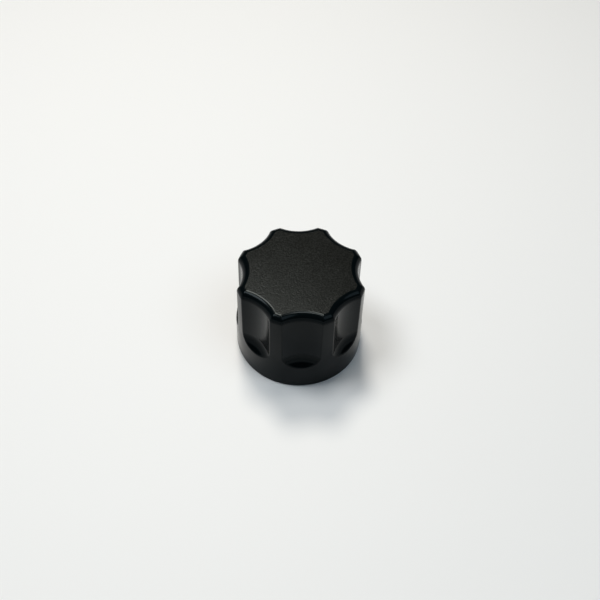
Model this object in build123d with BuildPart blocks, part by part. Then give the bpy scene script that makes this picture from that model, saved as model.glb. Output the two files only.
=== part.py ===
from build123d import *
import math
import os

os.makedirs("parts", exist_ok=True)

# A fluted push-on control knob, moulded in one piece, in millimetres. It stands on z = 0 with its
# axis on Z, and one flute faces -Y, the front. Its outside leans by the draft that frees the mould.

# Outside
knob_diameter = 25.0
knob_height = 19.6
draft_angle = 1.4
base_chamfer = 0.3
top_edge_radius = 1.4

# Grip flutes above a plain skirt; their depth and the lands are measured just below the top edge
flute_count = 8
flute_depth = 1.43
land_width = 2.3
land_edge_radius = 0.4
run_out_height = 8.7
run_out_share = 0.41

# Underside: a groove between the wall and a hub for the shaft, crossed by ribs
wall_thickness = 4.1
top_thickness = 2.2
groove_width = 2.4
hub_recess = 2.0
shaft_diameter = 6.0
bore_height = 15.0
bore_lead_in = 0.5
rib_thickness = 1.2
rib_recess = 4.0
rib_root = 0.3
rib_plate_count = 2

# How far a cut runs past the surface that it opens
cut_overrun = 1.0

# The wall where the rounding of the top edge starts
draft = math.radians(draft_angle)
lean = math.tan(draft)
knob_radius = knob_diameter / 2
edge_height = knob_height - top_edge_radius
edge_radius = knob_radius - edge_height * lean
floor_radius = edge_radius - flute_depth

# The flute's arc there: it spans what the lands leave of the wall, and is as deep as the flute
flute_half_angle = math.pi / flute_count - land_width / (2 * edge_radius)
mouth_distance = edge_radius * math.cos(flute_half_angle)
mouth_half_width = edge_radius * math.sin(flute_half_angle)
mouth_depth = mouth_distance - floor_radius
flute_radius = (mouth_half_width**2 + mouth_depth**2) / (2 * mouth_depth)

# The tapered form that sinks one flute, and the rounded corner that makes its run-out
form_distance = floor_radius + flute_radius
form_top = knob_height + cut_overrun
form_top_radius = flute_radius + (form_top - edge_height) * lean
corner_radius = run_out_share * flute_radius
corner_centre = flute_radius - (edge_height - run_out_height) * lean - corner_radius / math.cos(draft)
corner_end = (
    corner_centre + corner_radius * math.cos(draft),
    run_out_height - corner_radius * math.sin(draft),
)
form_foot = run_out_height - corner_radius

# The groove between the wall and the hub, and the bore
groove_top = knob_height - top_thickness
groove_radius = knob_radius - wall_thickness
hub_radius = groove_radius - groove_width
rib_reach = groove_radius + rib_root
bore_radius = shaft_diameter / 2

with BuildPart() as flute_form:
    with BuildSketch(Plane.XZ):
        with BuildLine():
            foot = Line((0, form_foot), (corner_centre, form_foot))
            corner = TangentArc(foot @ 1, corner_end, tangent=foot % 1)
            Polyline(corner @ 1, (form_top_radius, form_top), (0, form_top), foot @ 0)
        make_face()
    revolve(axis=Axis.Z)

with BuildPart() as knob_body:
    # Drafted outside with a broken base edge
    Cone(
        knob_radius,
        knob_radius - knob_height * lean,
        knob_height,
        align=(Align.CENTER, Align.CENTER, Align.MIN),
    )
    chamfer(knob_body.edges().group_by(Axis.Z)[0], base_chamfer)

    # Flutes
    with PolarLocations(form_distance, flute_count):
        add(flute_form.part, mode=Mode.SUBTRACT)

    # Rounded edges: both sides of every land and each run-out, then the rim of the top
    wall_edges = knob_body.edges().filter_by_position(Axis.Z, form_foot, knob_height)
    fillet(wall_edges.filter_by(GeomType.CIRCLE, reverse=True), land_edge_radius)
    fillet(knob_body.faces().sort_by(Axis.Z)[-1].edges(), top_edge_radius)

    # Groove round the recessed hub, as one half section
    with BuildSketch(Plane.XZ):
        with BuildLine():
            Polyline(
                (0, 0),
                (groove_radius, 0),
                (groove_radius, groove_top),
                (hub_radius, groove_top),
                (hub_radius, hub_recess),
                (0, hub_recess),
                close=True,
            )
        make_face()
    revolve(axis=Axis.Z, mode=Mode.SUBTRACT)

    # Ribs: plates through the hub that end inside the wall
    with BuildSketch(Plane.XY.offset(rib_recess)):
        with PolarLocations(0, rib_plate_count, angular_range=180):
            Rectangle(2 * rib_reach, rib_thickness)
    extrude(amount=groove_top - rib_recess)

    # Blind shaft bore with a lead-in
    with BuildSketch(Plane.XZ):
        with BuildLine():
            Polyline(
                (0, hub_recess),
                (bore_radius + bore_lead_in, hub_recess),
                (bore_radius, hub_recess + bore_lead_in),
                (bore_radius, bore_height),
                (0, bore_height),
                close=True,
            )
        make_face()
    revolve(axis=Axis.Z, mode=Mode.SUBTRACT)

knob_body.part.label = "knob_body"
export_step(knob_body.part, "parts/knob_body.step")
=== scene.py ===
import math

import bpy
from mathutils import Matrix, Vector

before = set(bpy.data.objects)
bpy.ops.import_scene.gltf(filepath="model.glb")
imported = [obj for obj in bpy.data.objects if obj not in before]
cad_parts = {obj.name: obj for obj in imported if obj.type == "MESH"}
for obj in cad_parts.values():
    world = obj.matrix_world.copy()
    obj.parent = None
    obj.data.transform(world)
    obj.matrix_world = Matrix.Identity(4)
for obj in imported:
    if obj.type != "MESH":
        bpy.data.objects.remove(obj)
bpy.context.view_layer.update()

# Lengths are in metres, but for Blender's sensor width, and angles in degrees. An azimuth turns from the
# front, -Y, towards the right, and an elevation rises from the table.
MM = 0.001

# Camera, fitted to the photograph's outline of the knob
PHOTO_PIXELS = 600
FOCAL_PIXELS = 657.043
SENSOR_WIDTH = 36.0
AIM_POINT = Vector((0.059, 0.0, 10.89)) * MM
CAMERA_DISTANCE = 125.691 * MM
CAMERA_AZIMUTH = -3.154
CAMERA_ELEVATION = 51.664
CAMERA_ROLL = 1.943
NEAREST_SEEN = 10.0 * MM

# Soft lamps: azimuth, elevation, width, watts, colour
LAMP_DISTANCE = 0.5
LAMPS = {
    "key": (191.0, 63.0, 0.122, 1.08, (1.0, 0.94, 0.84)),
    "overhead": (180.0, 80.0, 0.122, 0.46, (1.0, 0.98, 0.94)),
    "left": (260.0, 65.0, 0.188, 0.97, (0.92, 0.96, 0.98)),
    "fill": (58.0, 58.0, 0.33, 0.46, (0.72, 0.88, 1.0)),
}

# Room: little light on the knob, but pale walls for the rays that show them. The walls fade into a dim
# ceiling between two heights of a ray's direction.
ROOM_COLOUR = (0.88, 0.89, 0.89, 1)
ROOM_LIGHT = 0.03
ROOM_SEEN = 1.0
ROOM_FADE = (0.18, 0.34)
SEEING_RAYS = ("Is Camera Ray", "Is Glossy Ray", "Is Transmission Ray")

# Table, a hair below the knob so that their faces don't share a plane
TABLE_HALF = 0.5
TABLE_HEIGHT = -0.02 * MM
TABLE_COLOUR = (0.85, 0.85, 0.85, 1)
TABLE_ROUGHNESS = 0.6

# Moulded plastic: a smooth satin wall, and a finely grained top with a few light specks. Painted light:
# the top's colours are lighter and warmer than the wall's, as if lit by the warm key. The wall's colour
# and the reflections' tint are bluish, a painted reflection of blue shade. The top is where the height of
# the surface's normal passes from the first to the second facing.
WALL_BLACK_AND_PAINTED_BLUE_SHADE = (0.0014, 0.0028, 0.0034, 1)
TOP_DARK_AND_PAINTED_WARM_LIGHT = (0.0053, 0.0055, 0.0048, 1)
TOP_PALE_AND_PAINTED_WARM_LIGHT = (0.0106, 0.0108, 0.0094, 1)
SPECK_AND_PAINTED_WARM_LIGHT = (0.015, 0.015, 0.0135, 1)
PLASTIC_SPECULAR = 0.08
REFLECTION_TINT_PAINTED_BLUE_SHADE = (0.84, 0.96, 1.0, 1)
WALL_ROUGHNESS = (0.12, 0.18)
TOP_ROUGHNESS = (0.22, 0.32)
TOP_FACING = (0.9965, 0.9995)

# Noise in the plastic: its size and finer detail, and the values between which it takes effect
GRAIN_SIZE = 0.32 * MM
GRAIN_DETAIL = 3.0
GRAIN_DEPTH = 0.045 * MM
TOP_GRAIN_SHARES = (0.4, 1.0)
WALL_GRAIN_SHARE = 0.01
SPECK_SIZE = 0.6 * MM
SPECK_DETAIL = 0.0
SPECK_RANGE = (0.72, 0.78)
SMUDGE_SIZE = 5.0 * MM
SMUDGE_DETAIL = 4.0
PALE_RANGE = (0.35, 0.75)
ROUGH_RANGE = (0.3, 0.7)
PATCH_RANGE = (0.35, 0.65)
END_SHARES = (0, 1)


def direction_at(azimuth, elevation):
    turned = math.radians(azimuth)
    raised = math.radians(elevation)
    return Vector((
        math.sin(turned) * math.cos(raised),
        -math.cos(turned) * math.cos(raised),
        math.sin(raised),
    ))


def make_camera():
    back = direction_at(CAMERA_AZIMUTH, CAMERA_ELEVATION)
    azimuth = math.radians(CAMERA_AZIMUTH)
    level = Vector((math.cos(azimuth), math.sin(azimuth), 0))
    upright = back.cross(level)
    roll = math.radians(CAMERA_ROLL)
    right = math.cos(roll) * level + math.sin(roll) * upright
    up = math.cos(roll) * upright - math.sin(roll) * level
    lens = bpy.data.cameras.new("camera")
    lens.sensor_width = SENSOR_WIDTH
    lens.lens = FOCAL_PIXELS / PHOTO_PIXELS * SENSOR_WIDTH
    lens.clip_start = NEAREST_SEEN
    camera = bpy.data.objects.new("camera", lens)
    turn = Matrix((right, up, back)).transposed().to_4x4()
    camera.matrix_world = Matrix.Translation(AIM_POINT + CAMERA_DISTANCE * back) @ turn
    bpy.context.scene.collection.objects.link(camera)
    bpy.context.scene.camera = camera


def make_lamp(name, azimuth, elevation, width, power, colour):
    direction = direction_at(azimuth, elevation)
    data = bpy.data.lights.new(name, "AREA")
    data.shape = "DISK"
    data.size = width
    data.energy = power
    data.color = colour
    lamp = bpy.data.objects.new(name, data)
    lamp.location = direction * LAMP_DISTANCE
    lamp.rotation_euler = direction.to_track_quat("Z", "Y").to_euler()
    bpy.context.scene.collection.objects.link(lamp)


def add_height(tree, coordinate):
    """The Z of a texture coordinate that is a direction."""
    place = tree.nodes.new("ShaderNodeTexCoord")
    axes = tree.nodes.new("ShaderNodeSeparateXYZ")
    tree.links.new(place.outputs[coordinate], axes.inputs["Vector"])
    return axes.outputs["Z"]


def add_noise(tree, size, detail):
    noise = tree.nodes.new("ShaderNodeTexNoise")
    noise.inputs["Scale"].default_value = 1 / size
    noise.inputs["Detail"].default_value = detail
    place = tree.nodes.new("ShaderNodeTexCoord")
    tree.links.new(place.outputs["Object"], noise.inputs["Vector"])
    return noise.outputs["Fac"]


def add_range(tree, value, from_ends, to_ends):
    ramp = tree.nodes.new("ShaderNodeMapRange")
    tree.links.new(value, ramp.inputs["Value"])
    for side, (low, high) in (("From", from_ends), ("To", to_ends)):
        ramp.inputs[side + " Min"].default_value = low
        ramp.inputs[side + " Max"].default_value = high
    return ramp.outputs["Result"]


def add_mix(tree, kind, factor, first, second):
    mix = tree.nodes.new("ShaderNodeMix")
    mix.data_type = kind
    sockets = {socket.name: socket for socket in mix.inputs if socket.enabled}
    tree.links.new(factor, sockets["Factor"])
    for name, value in (("A", first), ("B", second)):
        if isinstance(value, bpy.types.NodeSocket):
            tree.links.new(value, sockets[name])
        else:
            sockets[name].default_value = value
    return next(socket for socket in mix.outputs if socket.enabled)


def make_room():
    world = bpy.data.worlds.new("room")
    bpy.context.scene.world = world
    world.use_nodes = True
    tree = world.node_tree
    background = tree.nodes["Background"]
    background.inputs["Color"].default_value = ROOM_COLOUR
    walls = add_range(tree, add_height(tree, "Generated"), ROOM_FADE, (ROOM_SEEN, ROOM_LIGHT))
    rays = tree.nodes.new("ShaderNodeLightPath").outputs
    strength = ROOM_LIGHT
    for kind in SEEING_RAYS:
        strength = add_mix(tree, "FLOAT", rays[kind], strength, walls)
    tree.links.new(strength, background.inputs["Strength"])


def plain_material(name, colour, roughness):
    material = bpy.data.materials.new(name)
    material.use_nodes = True
    shader = material.node_tree.nodes["Principled BSDF"]
    shader.inputs["Base Color"].default_value = colour
    shader.inputs["Roughness"].default_value = roughness
    return material


def make_table():
    corners = [
        (-TABLE_HALF, -TABLE_HALF, TABLE_HEIGHT),
        (TABLE_HALF, -TABLE_HALF, TABLE_HEIGHT),
        (TABLE_HALF, TABLE_HALF, TABLE_HEIGHT),
        (-TABLE_HALF, TABLE_HALF, TABLE_HEIGHT),
    ]
    mesh = bpy.data.meshes.new("table")
    mesh.from_pydata(corners, [], [(0, 1, 2, 3)])
    mesh.materials.append(plain_material("table", TABLE_COLOUR, TABLE_ROUGHNESS))
    stage = bpy.data.objects.new("table", mesh)
    bpy.context.scene.collection.objects.link(stage)


# Painted light: the top's grain and speck colours are set lighter and warmer than the wall, as if lit by
# the warm key. The dark, pale and speck tones among them are the plastic's own grain.
def add_top_grain_and_painted_light(tree, grain):
    pale = add_range(tree, grain, PALE_RANGE, END_SHARES)
    grained = add_mix(tree, "RGBA", pale, TOP_DARK_AND_PAINTED_WARM_LIGHT, TOP_PALE_AND_PAINTED_WARM_LIGHT)
    speck = add_range(tree, add_noise(tree, SPECK_SIZE, SPECK_DETAIL), SPECK_RANGE, END_SHARES)
    return add_mix(tree, "RGBA", speck, grained, SPECK_AND_PAINTED_WARM_LIGHT)


def add_grain_bump(tree, top, grain, smudge):
    bump = tree.nodes.new("ShaderNodeBump")
    bump.inputs["Distance"].default_value = GRAIN_DEPTH
    patchy = add_range(tree, smudge, PATCH_RANGE, TOP_GRAIN_SHARES)
    strength = add_mix(tree, "FLOAT", top, WALL_GRAIN_SHARE, patchy)
    tree.links.new(strength, bump.inputs["Strength"])
    tree.links.new(grain, bump.inputs["Height"])
    return bump.outputs["Normal"]


def make_plastic():
    material = plain_material("black_plastic", WALL_BLACK_AND_PAINTED_BLUE_SHADE, WALL_ROUGHNESS[0])
    tree = material.node_tree
    shader = tree.nodes["Principled BSDF"]
    shader.inputs["Specular IOR Level"].default_value = PLASTIC_SPECULAR
    # Painted reflection: the plastic's reflections are tinted bluish, as if of blue shade.
    shader.inputs["Specular Tint"].default_value = REFLECTION_TINT_PAINTED_BLUE_SHADE

    top = add_range(tree, add_height(tree, "Normal"), TOP_FACING, END_SHARES)
    grain = add_noise(tree, GRAIN_SIZE, GRAIN_DETAIL)
    smudge = add_noise(tree, SMUDGE_SIZE, SMUDGE_DETAIL)

    # Painted light: the top is mixed to lighter, warmer colours than the wall, as if lit by the warm key.
    # The wall keeps a bluish colour that stands for reflected blue shade.
    colour = add_mix(tree, "RGBA", top, WALL_BLACK_AND_PAINTED_BLUE_SHADE, add_top_grain_and_painted_light(tree, grain))
    tree.links.new(colour, shader.inputs["Base Color"])

    wall_roughness = add_range(tree, smudge, ROUGH_RANGE, WALL_ROUGHNESS)
    top_roughness = add_range(tree, grain, ROUGH_RANGE, TOP_ROUGHNESS)
    roughness = add_mix(tree, "FLOAT", top, wall_roughness, top_roughness)
    tree.links.new(roughness, shader.inputs["Roughness"])

    tree.links.new(add_grain_bump(tree, top, grain, smudge), shader.inputs["Normal"])
    return material


bpy.context.scene.view_settings.view_transform = "Standard"
make_camera()
make_room()
for lamp_name, lamp in LAMPS.items():
    make_lamp(lamp_name, *lamp)
make_table()

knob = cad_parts["knob_body"]
knob.data.materials.clear()
knob.data.materials.append(make_plastic())
